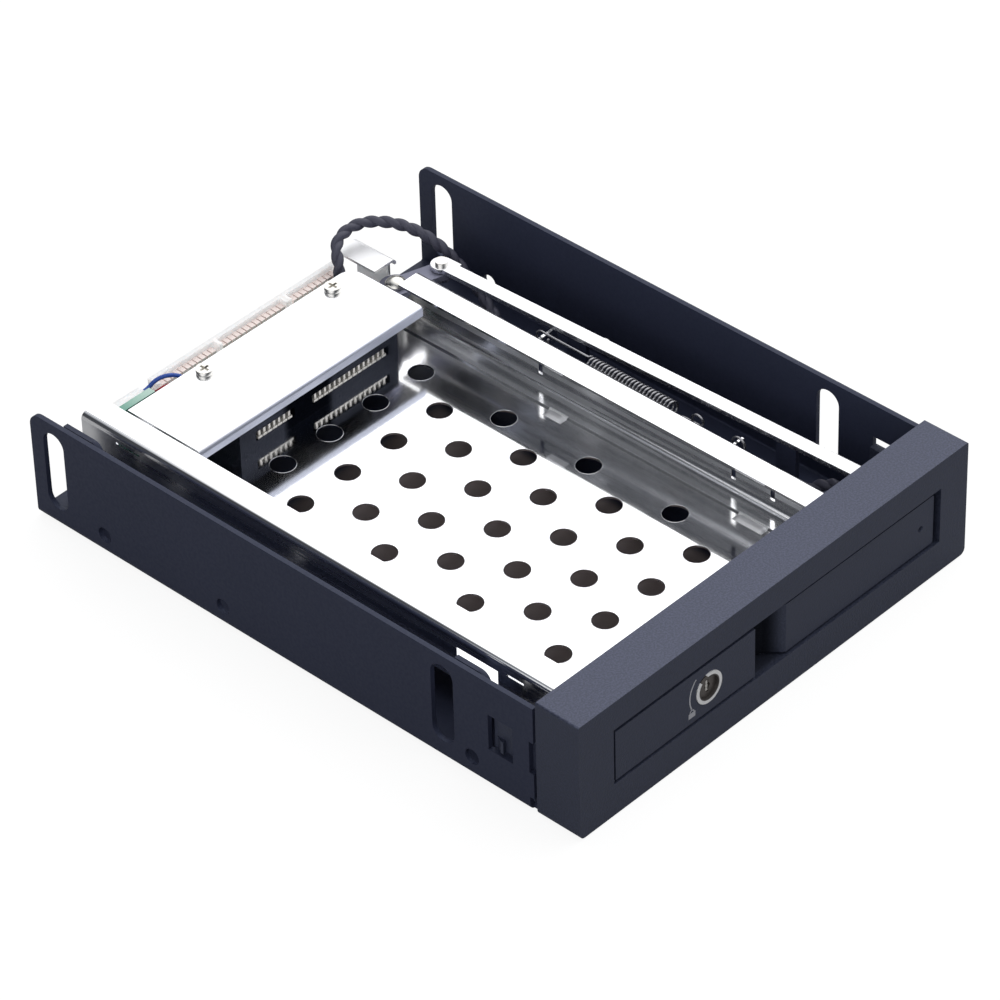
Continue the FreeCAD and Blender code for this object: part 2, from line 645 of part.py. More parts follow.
panel_hollow = block(
    (pocket_right + door_wall, hinge_x - 3.0), (panel_set + 1.85, door_back + OVER), inner_tall)
sleeve_radius = barrel_radius + run_gap + sleeve_wall
lock_boss = bar("y", lock_x, lock_z, (block_set + 0.85, door_back), sleeve_radius + door_wall)
hinge_bores = [
    bar("z", hinge_x, hinge_y, span, pin_radius + run_gap)
    for span in (
        (door_low - OVER, door_low + pin_depth + 0.2), (door_high - pin_depth - 0.2, door_high + OVER))
]
door_body = join(cut(slab, set_back, pocket, block_hollow, panel_hollow), lock_boss)
ring_seat = block_set + 0.8
lock_bore = [
    bar("y", lock_x, lock_z, (-OVER, ring_seat), sleeve_radius + sleeve_rim + run_gap),
    bar("y", lock_x, lock_z, (-OVER, door_back + OVER), sleeve_radius + run_gap),
]
lamp_hole = bar("y", lamp_x, lamp_z, (-OVER, door_back + OVER), lamp_bore)
node("door", cut(door_body, *lock_bore, *hinge_bores, lamp_hole))

low_pin = join(
    bar("z", hinge_x, hinge_y, (tube_low, door_low + pin_depth), pin_radius),
    bar("z", hinge_x, hinge_y, (tube_low - 0.8, tube_low), pin_radius + 0.6))
high_pin = join(
    bar("z", hinge_x, hinge_y, (door_high - pin_depth, tube_high), pin_radius),
    bar("z", hinge_x, hinge_y, (tube_high, tube_high + 0.8), pin_radius + 0.6))
node("hinge_pins", group(low_pin, high_pin))

# Lock
notch_bar = block((-0.8, 0.8), (-OVER, 0.7), (0.0, sleeve_radius + 1.5))
place(notch_bar, (lock_x, 0.0, lock_z), Rotation(Vector(0, 1, 0), -45))
notch = cut(notch_bar, bar("y", lock_x, lock_z, (-2.0, 2.0), barrel_radius))
sleeve_end = door_back + 1.0
sleeve = join(
    bar("y", lock_x, lock_z, (0.0, ring_seat), sleeve_radius + sleeve_rim),
    bar("y", lock_x, lock_z, (0.3, sleeve_end), sleeve_radius),
)
sleeve_bore = bar("y", lock_x, lock_z, (-OVER, sleeve_end + OVER), barrel_radius + run_gap)
node("lock_ring", cut(sleeve, sleeve_bore, notch))

cam_front = sleeve_end + 0.2
cam_rear = cam_front + cam_sheet
slit_half, slit_reach, key_radius = 0.35, 1.3, 0.7
key_span = (-OVER, 2.4)
key_slit = block(
    (lock_x - slit_half, lock_x + slit_half), key_span, (lock_z - slit_reach, lock_z + slit_reach))
key_round = bar("y", lock_x, lock_z, key_span, key_radius)
drive_half = 1.2
square = [
    (lock_x - drive_half, lock_x + drive_half), (cam_front - 0.2, cam_rear),
    (lock_z - drive_half, lock_z + drive_half)]
barrel = join(bar("y", lock_x, lock_z, (barrel_set, cam_front - 0.05), barrel_radius), block(*square))
screw_hole = bar("y", lock_x, lock_z, (cam_rear - 3.5, cam_rear + OVER), 0.65)
node("lock_barrel", cut(barrel, key_slit, key_round, screw_hole))
cam_plate = join(
    bar("y", lock_x, lock_z, (cam_front, cam_rear), 2.5),
    block(
        (lock_x - cam_length, lock_x), (cam_front, cam_rear),
        (lock_z - cam_width * 0.5, lock_z + cam_width * 0.5)),
)
square[1] = (cam_front - 0.2, cam_rear + 0.2)
node("lock_cam", cut(cam_plate, block(*square)))
node("cam_screw", join(
    bar("y", lock_x, lock_z, (cam_rear, cam_rear + 0.6), 2.0),
    bar("y", lock_x, lock_z, (cam_rear - 3.0, cam_rear + 0.1), 0.6)))
nut_corner = sleeve_radius + 1.25
nut = extrude("xz", [
    (lock_x + nut_corner * math.cos(math.radians(60 * k)),
        lock_z + nut_corner * math.sin(math.radians(60 * k)))
    for k in range(6)
], (door_back, door_back + 0.9))
nut_bore = bar("y", lock_x, lock_z, (door_back - OVER, door_back + 2.0), sleeve_radius + 0.03)
node("lock_nut", cut(nut, nut_bore))

# Lamp behind the door's small hole
lens_z = lamp_z - 0.8
lens_seat = lamp_y - 0.5
lens_dome = cut(
    ball(lamp_x, lens_seat, lens_z, lamp_radius),
    bar("y", lamp_x, lens_z, (lens_seat, lamp_y + 2.0), lamp_radius + OVER))
node("lamp_lens", join(lens_dome, bar("y", lamp_x, lens_z, (lens_seat, lamp_y), lamp_radius)))
node("lamp_board", block((lamp_x - 3.0, lamp_edge), (lamp_y, lamp_y + 1.0), (lamp_z - 4.6, lamp_z + 1.2)))

# Connector cover
cover_front = cover_rear - cover_depth
cover_x = (left + cover_left, right - cover_right)
cover_plate = extrude("yz", [
    (cover_front, cover_top - cover_lip), (cover_front + cover_sheet, cover_top - cover_lip),
    (cover_front + cover_sheet, cover_top - cover_sheet, cover_fold),
    (cover_rear, cover_top - cover_sheet), (cover_rear, cover_top),
    (cover_front, cover_top, cover_fold + cover_sheet),
], cover_x)
thick = (cover_top - cover_lip - OVER, cover_top + OVER)
corner = corner_tool("z", thick, cover_x[1], cover_rear, cover_corner, 1, 1)
cover_holes = [bar("z", x, y, thick, screw_radius + 0.25) for x, y in cover_spots]
node("connector_cover", cut(cover_plate, corner, *cover_holes))

cross_reach, cross_half = 1.0, 0.25
screws = []
for x, y in cover_spots:
    head = bar("z", x, y, (cover_top, cover_top + head_tall), screw_radius + 0.7)
    shank = bar("z", x, y, (plug_top - 1.1, cover_top + 0.2), screw_radius)
    deep = (cover_top + head_tall - 0.6, cover_top + head_tall + OVER)
    recess = [
        block((x - cross_reach, x + cross_reach), (y - cross_half, y + cross_half), deep),
        block((x - cross_half, x + cross_half), (y - cross_reach, y + cross_reach), deep)]
    screws.append(cut(join(head, shank), *recess))
node("cover_screws", group(*screws))

# Drive connector with its contacts
contact_low = floor + contact_lift
signal_first = plug_left + signal_side
power_first = signal_first + power_side
signal_count, power_count = 7, 15
slot_deep = (plug_face - OVER, plug_face + 4.6)
slot_tall = (contact_low, contact_low + 2.0)


def contact_slot(first, count):
    return block((first - 1.15, first + contact_pitch * (count - 1) + 1.15), slot_deep, slot_tall)


def contact_row(first, count):
    """Contacts lying in their slot, each with an upturned spring end."""
    row = []
    half_foot = contact_width * 0.5
    for k in range(count):
        x = first + contact_pitch * k
        row.append(join(
            block(
                (x - half_foot, x + half_foot), (plug_face + 0.1, slot_deep[1]),
                (contact_low, contact_low + 0.5)),
            block(
                (x - 0.25, x + 0.25), (plug_face + 0.3, plug_face + 0.9),
                (contact_low + 0.2, contact_low + 1.9)),
        ))
    return group(*row)


plug = block((plug_left, plug_right), (plug_face, board_front), (floor, plug_top))
plug_posts = [bar("z", x, y, (plug_top - 0.6, cover_top - cover_sheet), 2.4) for x, y in cover_spots]
plug_under = block(
    (plug_left + 2.0, plug_right - 2.0), (plug_face + 6.0, board_front - 1.2),
    (floor - OVER, plug_top - 1.4))
post_holes = [bar("z", x, y, (plug_top - 1.2, cover_top), screw_radius + run_gap) for x, y in cover_spots]
node("drive_connector", cut(
    join(plug, *plug_posts), plug_under, contact_slot(signal_first, signal_count),
    contact_slot(power_first, power_count),
    *post_holes))
node("signal_contacts", contact_row(signal_first, signal_count))
node("power_contacts", contact_row(power_first, power_count))

# Upright board with its rear sockets
board_thick = (board_front, board_rear)
board_left, board_right = left + 2.8, right - 10.0
ledge_top = floor + 1.8
node("backplane_board", join(
    block((left + step + 0.6, board_right), board_thick, (floor, board_top)),
    block((board_left, board_left + 12.0), board_thick, (rail + 0.2, floor + tab_tall)),
    block((board_right - 0.6, right - 6.4), board_thick, (floor, ledge_top))))
socket_low = floor + socket_lift
socket_top = socket_low + socket_tall
socket_rear = board_rear + socket_depth


def rear_socket(low, high, bays):
    """White housing: contact bays open above the board, plug mouth at the rear."""
    body = block((low, high), (board_rear, socket_rear), (socket_low, socket_top))
    mouth = block(
        (low + 1.0, high - 1.0), (board_rear + 1.7, socket_rear + OVER),
        (socket_low + 1.2, board_top - 0.7))
    tongue = block(
        (low + 2.0, high - 2.0), (board_rear + 1.3, socket_rear - 0.4),
        (socket_low + 3.0, socket_low + 4.0))
    wells = [
        block(bay, (board_rear - OVER, socket_rear - 0.9), (board_top, socket_top + OVER)) for bay in bays]
    return join(cut(body, mouth, *wells), tongue)


power_left = left + power_socket_side
data_right = right - data_socket_side
data_left = data_right - data_socket_width
bay_split = power_left + 16.2
power_bays = [
    (power_left + socket_wall, bay_split - socket_wall * 0.5),
    (bay_split + socket_wall * 0.5, data_left - socket_wall)]
data_bays = [(data_left + socket_wall, data_right - socket_wall)]
node("rear_power_socket", rear_socket(power_left, data_left, power_bays))
node("rear_data_socket", rear_socket(data_left, data_right, data_bays))
blades = []
for low, high in power_bays + data_bays:
    count = int((high - low).value / contact_pitch.value)
    first = (low + high) * 0.5 - contact_pitch * ((count - 1) * 0.5)
    for k in range(count):
        x = first + contact_pitch * k
        blades.append(
            block(
                (x - 0.5, x + 0.5), (board_rear + 0.3, socket_rear - 0.9), (board_top, socket_top - 1.0)))
node("socket_contacts", group(*blades))
header_x = (board_left, board_left + 11.0)
header_z = (board_top - 2.6, floor + tab_tall - 0.2)
node("board_header", cut(
    block(header_x, (board_rear, socket_rear - 0.9), header_z),
    block((header_x[0] + 0.9, header_x[1] - 0.9), (board_rear + 0.8, socket_rear),
        (header_z[0] + 1.0, header_z[1] - 1.0))))
node("lead_plug", block(
    (board_right + 0.2, board_right + 3.4), (board_front - 1.2, board_rear), (ledge_top, ledge_top + 3.0)))

# Ejector lever, drawn about its pivot
lever_thick = (lever_low, lever_high)
lever_through = (lever_low - OVER, lever_high + OVER)
arm_reach = diagonal(rod_reach, rod_set)
rest_angle = -math.degrees(math.atan2(rod_set.value, rod_reach.value))


def turned(degrees, *parts):
    arm = join(*parts)
    place(arm, (0.0, 0.0, 0.0), Rotation(Vector(0, 0, 1), degrees))
    return arm


def lever_arm(degrees, reach, radius):
    """One flat arm of the lever with a round end."""
    flat_arm = block((0.0, reach), (-radius, radius), lever_thick)
    return turned(degrees, flat_arm, bar("z", reach, 0.0, lever_thick, radius))


slot_ends = (arm_reach - 0.75, arm_reach + 0.05)
pin_room = rod_pin + 0.3
rod_slot = turned(
    rest_angle, block(slot_ends, (-pin_room, pin_room), lever_through),
    *[bar("z", x, 0.0, lever_through, pin_room) for x in slot_ends])
lever_bore = bar("z", 0.0, 0.0, lever_through, pivot_radius + run_gap)
hub = bar("z", 0.0, 0.0, lever_thick, pivot_radius + 2.0)
lever_arms = [
    lever_arm(rest_angle, arm_reach - 0.3, lever_eye), lever_arm(NOSE_ANGLE, lever_reach, lever_nose)]
lever = cut(join(hub, *lever_arms), rod_slot, lever_bore)
place(lever, (pivot_x, pivot_y, 0.0))
node("ejector_lever", lever)
dome = common(
    bar("z", pivot_x, pivot_y, (lever_high + 0.1, lever_high + 4.0), pivot_radius + 0.9),
    ball(pivot_x, pivot_y, lever_high - 0.95, pivot_radius + 1.35),
)
node("lever_pivot", join(
    bar("z", pivot_x, pivot_y, (rail, lever_low - run_gap), pivot_radius + 0.6),
    bar("z", pivot_x, pivot_y, (lever_low - 0.5, lever_high + 0.4), pivot_radius),
    dome))

# Push rod, drawn about its rear rivet and turned to its own line
half = rod_width * 0.5
strip = (rod_low, rod_high)
through = (rod_low - OVER, rod_high + 2.0)
ear_thick = (-lug_set - 0.3, 0.3 - lug_set)
rod = join(
    block((-half, half), (-rod_length, 0.0), strip),
    bar("z", 0.0, 0.0, strip, half + 0.6),
    block((0.0, half + 0.6), (-3.2, 0.0), strip),
    block((half - foot_width, half), (-rod_length, 2.8 - rod_length), strip),
    block((-half - 3.4, 0.0), ear_thick, (hook_low - 1.2, hook_z + 0.6)),
    block((-half, 0.0), ear_thick, (hook_z, rod_low + 0.5 * rod_sheet)),
)
rod_holes = [
    bar("z", 0.0, 0.0, through, rod_pin + run_gap),
    bar("y", -half - 2.3, hook_low, (-lug_set - 2.0, 2.0 - lug_set), 0.6)]
push_rod = cut(rod, *rod_holes)
place(push_rod, (rod_x, rod_y, 0.0), Rotation(Vector(0, 0, 1), ROD_TILT))
node("push_rod", push_rod)
node("rod_rivet", join(
    bar("z", rod_x, rod_y, (rod_high, rod_high + 0.65), rod_pin + 0.45),
    bar("z", rod_x, rod_y, (lever_low - 0.5, rod_high + 0.2), rod_pin),
    bar("z", rod_x, rod_y, (lever_low - 1.0, lever_low - 0.3), rod_pin + 0.9)))

# Return spring: close coil body with a long hook at each end
wire_ring = spring_radius - spring_wire
rear_seat = rod_y - lug_set * math.cos(math.radians(ROD_TILT))
coil_span = (hook_seat + front_reach, rear_seat - rear_reach)
coil = cut(
    bar("y", spring_x, spring_z, coil_span, spring_radius),
    bar("y", spring_x, spring_z, (coil_span[0] - OVER, coil_span[1] + OVER), wire_ring - spring_wire))
node("return_spring", join(
    coil,
    bar("y", spring_x, spring_z + wire_ring, (coil_span[1] - 0.3, rear_seat - 0.6), spring_wire),
    ring(spring_x, rear_seat, hook_z, hook_radius, spring_wire),
    bar("y", spring_x, spring_z - wire_ring, (hook_seat + 0.8, coil_span[0] + 0.3), spring_wire),
    ring(spring_x, hook_seat, hook_z, hook_radius, spring_wire)))


def route(points):
    """A wire of straight runs with a tangent arc at every turn, and the arcs' radii."""
    points = [Vector(*point) for point in points]
    edges = []
    radii = []
    start = points[0]
    for before, here, after in zip(points, points[1:], points[2:]):
        back, ahead = before - here, after - here
        trim = 0.45 * min(back.Length, ahead.Length)
        back.normalize()
        ahead.normalize()
        first, last = here + back * trim, here + ahead * trim
        half_turn = 0.5 * (math.pi - back.getAngle(ahead))
        radius = trim / math.tan(half_turn)
        centre = here + (back + ahead).normalize() * math.hypot(trim, radius)
        crown = centre + (here - centre).normalize() * radius
        edges.append(Part.LineSegment(start, first).toShape())
        edges.append(Part.Arc(first, crown, last).toShape())
        radii.append(round(radius, 1))
        start = last
    edges.append(Part.LineSegment(start, points[-1]).toShape())
    return Part.Wire(edges), radii


def cord(label, points, radius):
    """A round cord held along its whole route."""
    wire, radii = route(points)
    run = Vector(*points[1]) - Vector(*points[0])
    section = Part.Wire([Part.makeCircle(radius.value, Vector(*points[0]), run)])
    solid = wire.makePipeShell([section], True, True)
    expected = math.pi * radius.value ** 2 * wire.Length
    print(
        label, "length", round(wire.Length, 1), "radii", radii, "volume ratio",
        round(solid.Volume / expected, 4))
    obj = doc.addObject("Part::Feature", label)
    obj.Shape = solid
    obj.Label = label
    place(obj, (bay_width * -0.5, frame_depth * -0.5, 0.0))
    pieces.append(obj)


cord("lamp_lead", [
    (72.9, 126.6, 11.7), (72.9, 126.6, 17.4), (75.2, 130.0, 20.7), (82.2, 130.4, 21.2),
    (87.4, 125.2, 20.6),
    (91.0, 119.8, 17.4), (94.4, 115.0, 10.6), (93.2, 106.0, 4.6), (88.0, 94.0, 2.25), (86.0, 72.0, 2.25),
    (85.8, 46.0, 2.25), (88.4, 30.0, 4.4), (92.2, 23.0, 10.3), (92.2, 16.2, 10.3),
], lead_radius)
cord("blue_wire", [
    (24.0, 128.9, 15.4), (25.3, 128.9, 15.4), (26.9, 128.5, 16.7), (28.9, 127.4, 17.3),
    (31.0, 126.0, 16.7),
    (32.0, 125.5, 15.0), (32.0, 125.5, 13.2),
], wire_radius)
cord("red_wire", [
    (24.0, 128.9, 13.6), (25.2, 128.9, 13.6), (26.6, 127.5, 14.9), (28.2, 126.7, 15.7),
    (29.7, 125.9, 15.4),
    (30.2, 125.5, 14.35), (30.2, 125.5, 13.2),
], wire_radius)

doc.recompute()
for obj in doc.Objects:
    if "Invalid" in obj.State or "Error" in obj.State:
        raise RuntimeError(f"{obj.Label} did not build")
os.makedirs("parts", exist_ok=True)
for piece in pieces:
    shape = piece.Shape
    if shape.isNull() or not shape.isValid():
        raise RuntimeError(f"{piece.Label} is not a valid shape")
    box = shape.BoundBox
    corners = [round(v, 2) for v in (box.XMin, box.YMin, box.ZMin, box.XMax, box.YMax, box.ZMax)]
    print(piece.Label, len(shape.Solids), round(shape.Volume, 1), corners)
    shape.exportStep(f"parts/{piece.Label}.step")
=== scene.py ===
import math

import bpy
from mathutils import Matrix, Vector


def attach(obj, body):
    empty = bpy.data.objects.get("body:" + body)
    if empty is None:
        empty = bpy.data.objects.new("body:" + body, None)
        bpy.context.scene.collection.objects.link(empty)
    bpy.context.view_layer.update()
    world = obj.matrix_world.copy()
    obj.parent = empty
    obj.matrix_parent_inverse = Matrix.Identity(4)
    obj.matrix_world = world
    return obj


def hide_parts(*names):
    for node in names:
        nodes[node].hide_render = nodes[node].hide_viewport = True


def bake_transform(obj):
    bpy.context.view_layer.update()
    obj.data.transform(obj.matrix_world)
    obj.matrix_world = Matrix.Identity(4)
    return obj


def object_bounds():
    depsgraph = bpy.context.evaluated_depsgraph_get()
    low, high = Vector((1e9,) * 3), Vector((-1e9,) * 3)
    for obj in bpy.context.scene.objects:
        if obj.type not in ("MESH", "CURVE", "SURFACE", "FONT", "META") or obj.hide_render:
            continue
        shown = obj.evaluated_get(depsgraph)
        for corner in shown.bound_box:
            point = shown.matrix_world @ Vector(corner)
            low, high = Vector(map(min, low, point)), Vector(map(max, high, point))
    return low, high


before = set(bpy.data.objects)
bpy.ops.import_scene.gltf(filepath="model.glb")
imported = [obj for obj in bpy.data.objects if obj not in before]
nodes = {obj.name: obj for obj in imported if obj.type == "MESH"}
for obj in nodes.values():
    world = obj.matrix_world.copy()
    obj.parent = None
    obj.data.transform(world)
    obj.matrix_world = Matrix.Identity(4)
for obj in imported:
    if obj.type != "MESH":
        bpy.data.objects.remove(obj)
cad_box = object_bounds()

# Sizes are in millimetres, and places are measured from the rack's front left bottom corner
MM = 0.001
HALF_WIDTH, HALF_DEPTH = (round(half / MM, 3) for half in cad_box[1][:2])
LOCK_X, LOCK_Z = 32.8, 12.8
RING_INNER, RING_OUTER = 2.62, 3.6
POCKET_X, POCKET_Z = (42.0, 50.6), (6.7, 18.8)
FACE_TOP = (23.6, 24.2)
VENTED_X, VENTED_Y = (20.0, 68.0), (20.0, 97.0)
COVER_Y = (100.0, 120.0)
DIMPLE_X, DIMPLES_Y = (75.0, 77.2), ((24.9, 31.7), (73.1, 77.5))
TAB_X, TAB_Y = (68.0, 69.0), (116.0, 117.0)


def spot(x, y, z):
    """A point given in millimetres from the rack's front left bottom corner."""
    return Vector(((x - HALF_WIDTH) * MM, (y - HALF_DEPTH) * MM, z * MM))


# Shader sums


class Wire:
    """A shader output that takes part in ordinary sums."""

    def __init__(self, tree, socket):
        self.tree = tree
        self.socket = socket

    def sum(self, operation, *values):
        made = self.tree.nodes.new("ShaderNodeMath")
        made.operation = operation
        for place, value in zip(made.inputs, values):
            feed(self.tree, place, value)
        return Wire(self.tree, made.outputs[0])

    def __add__(self, other):
        return self.sum("ADD", self, other)

    def __sub__(self, other):
        return self.sum("SUBTRACT", self, other)

    def __rsub__(self, other):
        return self.sum("SUBTRACT", other, self)

    def __mul__(self, other):
        return self.sum("MULTIPLY", self, other)

    def __truediv__(self, other):
        return self.sum("DIVIDE", self, other)

    def __rtruediv__(self, other):
        return self.sum("DIVIDE", other, self)

    def __pow__(self, other):
        return self.sum("POWER", self, other)

    def __abs__(self):
        return self.sum("ABSOLUTE", self)

    __radd__ = __add__
    __rmul__ = __mul__


def feed(tree, place, value):
    """Link a shader output to a socket, or set a constant on it."""
    if isinstance(value, Wire):
        tree.links.new(value.socket, place)
    elif isinstance(value, (tuple, list)) and len(value) == 3 and place.type == "RGBA":
        place.default_value = (*value, 1.0)
    else:
        place.default_value = value


class Graph:
    """A node tree with one way to add any node to it."""

    def __init__(self, tree):
        self.tree = tree
        tree.nodes.clear()

    def add(self, kind, settings=None, sockets=None, out=0):
        """A node of any kind, its settings first and its sockets after."""
        made = self.tree.nodes.new(kind)
        for name, value in (settings or {}).items():
            setattr(made, name, value)
        for name, value in (sockets or {}).items():
            feed(self.tree, made.inputs[name], value)
        return Wire(self.tree, made.outputs[out]) if made.outputs else None

    def where(self):
        return self.add("ShaderNodeTexCoord", out="Object")

    def place(self, axis):
        """Millimetres from the rack's front left bottom corner along one axis."""
        metres = self.add("ShaderNodeSeparateXYZ", sockets={"Vector": self.where()}, out=axis)
        return metres / MM + {"X": HALF_WIDTH, "Y": HALF_DEPTH, "Z": 0.0}[axis]

    def facing(self, axis):
        """How squarely the surface faces along one axis, either way."""
        normal = self.add("ShaderNodeNewGeometry", out="Normal")
        return abs(self.add("ShaderNodeSeparateXYZ", sockets={"Vector": normal}, out=axis))

    def between(self, value, low, high, soft):
        """One inside a span and nought outside it, with soft ends."""
        return self.spread(value, low - soft, low) * (1.0 - self.spread(value, high, high + soft))

    def noise(self, scale, detail=3.0, rough=0.5, at=None):
        return self.add("ShaderNodeTexNoise", sockets={
            "Vector": at or self.where(), "Scale": scale, "Detail": detail, "Roughness": rough}, out="Fac")

    def spread(self, value, low, high, to_low=0.0, to_high=1.0):
        """A smooth change from one value to another while the input crosses a span."""
        return self.add("ShaderNodeMapRange", {"interpolation_type": "SMOOTHSTEP"}, {
            "Value": value, "From Min": low, "From Max": high, "To Min": to_low, "To Max": to_high})

    def mix(self, factor, first, second):
        return self.add("ShaderNodeMix", {"data_type": "RGBA"}, {0: factor, 6: first, 7: second}, out=2)

    def stretched(self, across, along, up):
        return self.add("ShaderNodeMapping", sockets={"Vector": self.where(), "Scale": (across, along, up)})

    def bump(self, height, depth, strength=1.0):
        return self.add("ShaderNodeBump", sockets={"Height": height, "Distance": depth, "Strength": strength})


def surface(name, build):
    """A material whose build function gives the principled shader's sockets."""
    made = bpy.data.materials.new(name)
    made.use_nodes = True
    graph = Graph(made.node_tree)
    shader = graph.add("ShaderNodeBsdfPrincipled", sockets=build(graph))
    graph.add("ShaderNodeOutputMaterial", sockets={"Surface": shader})
    return made


# Finishes


def powder_coat(g):
    peel = g.noise(1500.0, 2.0)
    cloud = g.noise(60.0, 3.0)
    coat = g.mix(cloud, (0.0250, 0.0295, 0.0540), (0.0310, 0.0360, 0.0650))
    # Painted light: a pale pinkish-brown patch on the black floor pan under the vent holes, standing in for
    # the light seen through them.
    pan = g.facing("Z") * (1.0 - g.spread(g.place("Z"), 1.2, 1.8))
    painted_light_under_vents = pan * g.between(g.place("X"), *VENTED_X, 3.0) * g.between(g.place("Y"), *VENTED_Y, 3.0)
    return {
        "Base Color": g.mix(painted_light_under_vents, coat, g.mix(cloud, (0.27, 0.225, 0.22), (0.35, 0.295, 0.29))),
        "Roughness": g.spread(peel, 0.3, 0.7, 0.42, 0.54),
        "Specular IOR Level": 0.26,
        "Specular Tint": (0.72, 0.80, 1.0, 1.0),
        "Normal": g.bump(peel + g.noise(5200.0, 1.0) * 0.3, 0.00003, 0.5)}


def grained_plastic(g):
    grain = g.noise(2600.0, 2.0, 0.6)
    cloud = g.noise(45.0, 3.0)
    fleck = g.spread(grain, 0.38, 0.64)
    dark = g.mix(cloud, (0.0150, 0.0190, 0.0350), (0.0175, 0.0215, 0.0390))
    light = g.mix(cloud, (0.0290, 0.0340, 0.0590), (0.0330, 0.0380, 0.0650))
    lit = g.mix(fleck, (0.024, 0.028, 0.050), (0.066, 0.072, 0.120))
    depth, height = g.place("Y"), g.place("Z")
    # Painted shade: the door's finger pocket is darkened towards near black, made partly metallic to dull its
    # sheen, and roughened.
    painted_pocket_shade = g.between(height, *POCKET_Z, 0.2) * g.spread(depth, 0.5, 1.6)
    painted_pocket_shade = painted_pocket_shade * g.between(g.place("X"), *POCKET_X, 2.4)
    # Painted shade: black plastic far back in the rack, on the drive connector, is darkened towards near
    # black and made partly metallic to dull its sheen.
    painted_connector_shade = g.spread(depth, 80.0, 95.0, 0.0, 0.75)
    shaded = painted_connector_shade + painted_pocket_shade * g.spread(height, 6.9, 7.4, 0.5, 0.92)
    # Painted highlight: upward faces at the top of the bezel are mixed towards the lighter flecked colour.
    painted_top_sheen = g.spread(g.facing("Z"), 0.6, 0.9) * g.spread(height, *FACE_TOP)
    skin = g.mix(painted_top_sheen * 0.8, g.mix(fleck, dark, light), lit)
    return {
        "Base Color": g.mix(shaded, skin, (0.004, 0.005, 0.008)),
        "Metallic": shaded * 0.7,
        "Roughness": g.spread(grain, 0.3, 0.7, 0.44, 0.58) + painted_pocket_shade * 0.35,
        "Specular IOR Level": 0.72,
        "Specular Tint": (0.72, 0.78, 1.0, 1.0),
        "Normal": g.bump(grain, 0.00009, 0.7)}


def mirror_steel(g):
    smudge = g.noise(70.0, 5.0, 0.6)
    roll = g.noise(620.0, 3.0, 0.55, g.stretched(1.0, 0.02, 1.0))
    wall = g.spread(g.facing("X"), 0.5, 0.9)
    across, along = g.place("X"), g.place("Y")
    front_dimple, rear_dimple = (g.between(along, *span, 0.1) for span in DIMPLES_Y)
    dimple = g.between(across, *DIMPLE_X, 0.1) * (front_dimple + rear_dimple)
    tab = g.spread(across, *TAB_X) * g.spread(along, *TAB_Y)
    hazy = g.spread(along, 90.0, 101.0) * 0.05 + g.spread(across, 68.0, 77.0) * 0.09
    polish = g.spread(smudge, 0.35, 0.75, 0.04, 0.085)
    streaks = wall * g.spread(roll, 0.35, 0.65, 0.08, 0.30)
    return {
        "Base Color": g.mix(smudge, (0.89, 0.895, 0.915), (0.945, 0.95, 0.965)),
        "Metallic": 1.0,
        "Roughness": polish + streaks + hazy * (1.0 - wall) + dimple * 0.4 + tab * 0.3,
        "Normal": g.bump(roll, 0.00002, 0.5)}


def satin_steel(g):
    roll = g.noise(1400.0, 3.0, 0.6, g.stretched(0.04, 1.0, 1.0))
    cloud = g.noise(50.0, 4.0)
    # Painted reflection: the cover's front lip is tinted darker and bluer than the rest of the sheet, and
    # roughened.
    painted_lip_tint = g.spread(g.facing("Y"), 0.35, 0.8) * g.between(g.place("Y"), *COVER_Y, 0.5)
    sheet = g.mix(cloud, (0.82, 0.83, 0.86), (0.90, 0.905, 0.925))
    return {
        "Base Color": g.mix(painted_lip_tint, sheet, (0.60, 0.63, 0.74)),
        "Metallic": 1.0,
        "Roughness": g.spread(roll, 0.3, 0.7, 0.20, 0.28) + painted_lip_tint * 0.25,
        "Normal": g.bump(roll, 0.000006, 0.4)}


def nickel(g):
    cloud = g.noise(900.0, 3.0)
    out_x, out_z = g.place("X") - LOCK_X, g.place("Z") - LOCK_Z
    reach = (out_x * out_x + out_z * out_z) ** 0.5
    bright = g.mix(cloud, (0.66, 0.645, 0.61), (0.80, 0.785, 0.75))
    at_lock = (1.0 - g.spread(reach, RING_OUTER, RING_OUTER + 0.2)) * (1.0 - g.spread(g.place("Y"), 1.0, 1.4))
    # Painted shade: a near-black band inside the lock ring's inner edge, at the gap to the barrel.
    ring_gap_shade = at_lock * (1.0 - g.spread(reach, RING_INNER - 0.1, RING_INNER))
    return {
        "Base Color": g.mix(ring_gap_shade, g.mix(at_lock, bright, (0.93, 0.93, 0.935)), (0.085, 0.078, 0.075)),
        "Metallic": 1.0 - at_lock * 0.5,
        "Roughness": g.spread(cloud, 0.3, 0.7, 0.14, 0.26) + at_lock * 0.2}


def lock_bronze(g):
    turning = g.noise(2600.0, 3.0)
    return {
        "Base Color": g.mix(turning, (0.12, 0.108, 0.102), (0.20, 0.182, 0.172)),
        "Metallic": 0.8,
        "Roughness": g.spread(turning, 0.3, 0.7, 0.34, 0.46)}


def dark_steel(g):
    cloud = g.noise(260.0, 4.0)
    return {
        "Base Color": g.mix(cloud, (0.20, 0.205, 0.28), (0.27, 0.275, 0.36)),
        "Metallic": 0.4,
        "Roughness": g.spread(cloud, 0.3, 0.7, 0.42, 0.54),
        "Normal": g.bump(g.noise(2600.0), 0.00001, 0.4)}


def spring_steel(g):
    draw = g.noise(3000.0, 2.0)
    return {
        "Base Color": g.mix(draw, (0.26, 0.26, 0.28), (0.42, 0.42, 0.44)),
        "Metallic": 1.0,
        "Roughness": g.spread(draw, 0.3, 0.7, 0.22, 0.34)}


